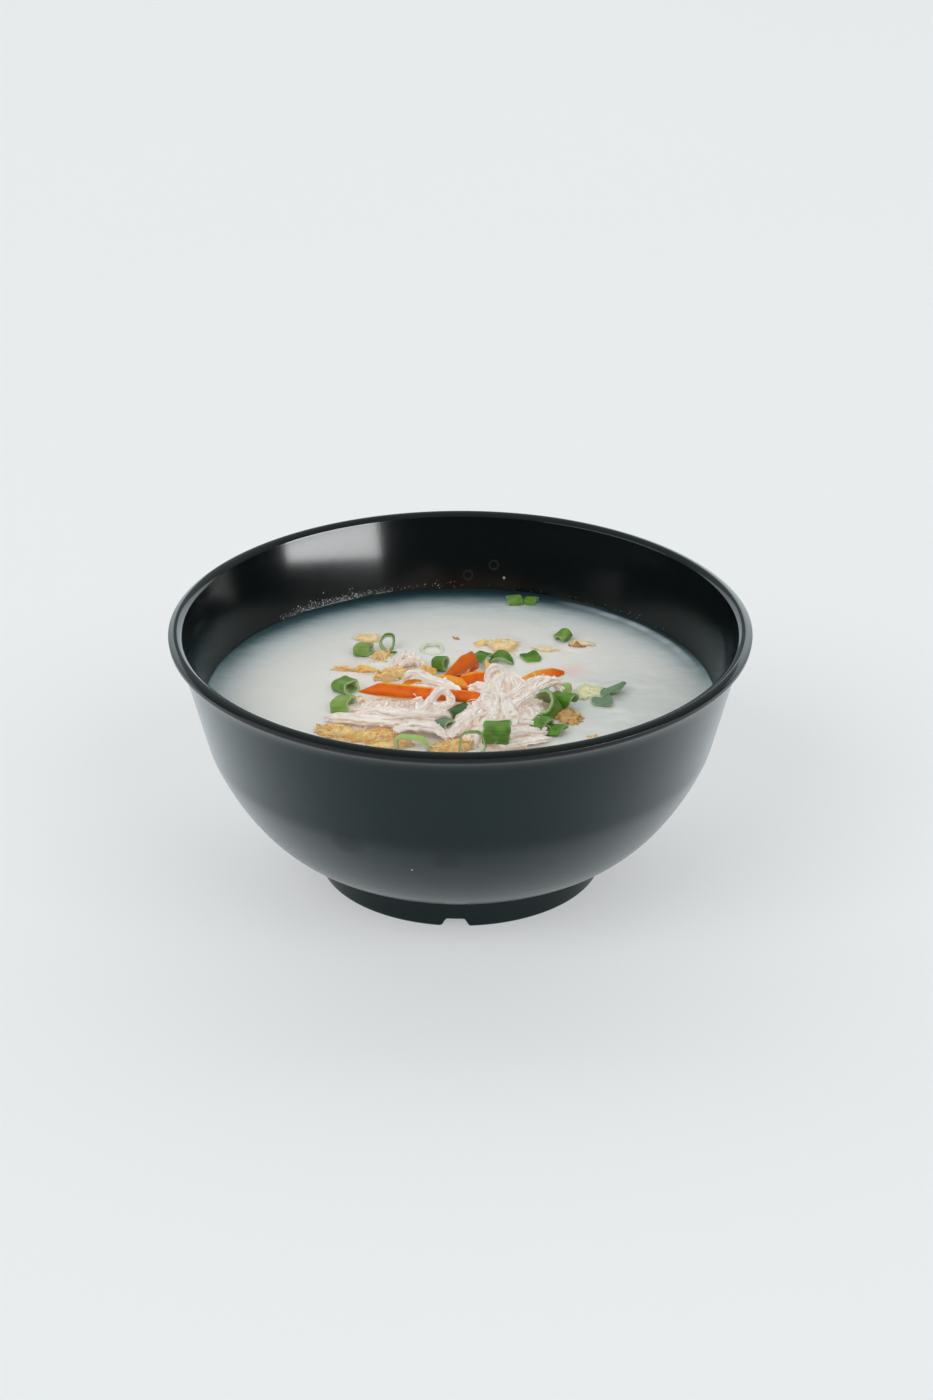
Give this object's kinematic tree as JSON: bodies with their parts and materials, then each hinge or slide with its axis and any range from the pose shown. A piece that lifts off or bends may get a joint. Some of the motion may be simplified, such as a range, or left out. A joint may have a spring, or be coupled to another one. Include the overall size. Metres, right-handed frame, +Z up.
{
  "type": "bowl of congee",
  "caption": "Round black noodle bowl on a notched foot ring, filled with pale rice congee topped with shredded chicken, chilli strips, spring onion and fried shallots.",
  "frame": {"origin": "centre of the foot ring's underside, on the bowl's axis", "axes": "+Z up along the bowl's axis; the front of the dish, with the first foot notch, faces -Y"},
  "size_m": [0.1898, 0.1898, 0.0868],
  "materials": {
    "black_melamine": "satin outside, glossy inside",
    "rice_congee": "wet, slightly translucent food",
    "shredded_chicken": "moist fibrous food",
    "chilli": "glossy skin, matt flesh",
    "spring_onion": "satin leaf",
    "fried_shallot": "crisp fried, oily"
  },
  "bodies": {
    "root": {"bowl": "black_melamine", "congee": "rice_congee", "chicken_right": "shredded_chicken", "chicken_left": "shredded_chicken", "chicken_back": "shredded_chicken", "chilli_1": "chilli", "chilli_2": "chilli", "chilli_3": "chilli", "chilli_4": "chilli", "chilli_5": "chilli", "chilli_6": "chilli", "spring_onion_01": "spring_onion", "spring_onion_02": "spring_onion", "spring_onion_03": "spring_onion", "spring_onion_04": "spring_onion", "spring_onion_05": "spring_onion", "spring_onion_06": "spring_onion", "spring_onion_07": "spring_onion", "spring_onion_08": "spring_onion", "spring_onion_09": "spring_onion", "spring_onion_10": "spring_onion", "spring_onion_11": "spring_onion", "spring_onion_12": "spring_onion", "spring_onion_13": "spring_onion", "spring_onion_14": "spring_onion", "spring_onion_15": "spring_onion", "spring_onion_16": "spring_onion", "spring_onion_17": "spring_onion", "spring_onion_18": "spring_onion", "spring_onion_19": "spring_onion", "spring_onion_20": "spring_onion", "spring_onion_21": "spring_onion", "spring_onion_22": "spring_onion", "spring_onion_23": "spring_onion", "shallot_01": "fried_shallot", "shallot_02": "fried_shallot", "shallot_03": "fried_shallot", "shallot_04": "fried_shallot", "shallot_05": "fried_shallot", "shallot_06": "fried_shallot", "shallot_07": "fried_shallot", "shallot_08": "fried_shallot", "shallot_heap_1": "fried_shallot", "shallot_heap_2": "fried_shallot", "shallot_heap_3": "fried_shallot", "shallot_heap_4": "fried_shallot", "shallot_heap_5": "fried_shallot", "shallot_heap_6": "fried_shallot", "shallot_heap_7": "fried_shallot"}
  },
  "joints": []
}
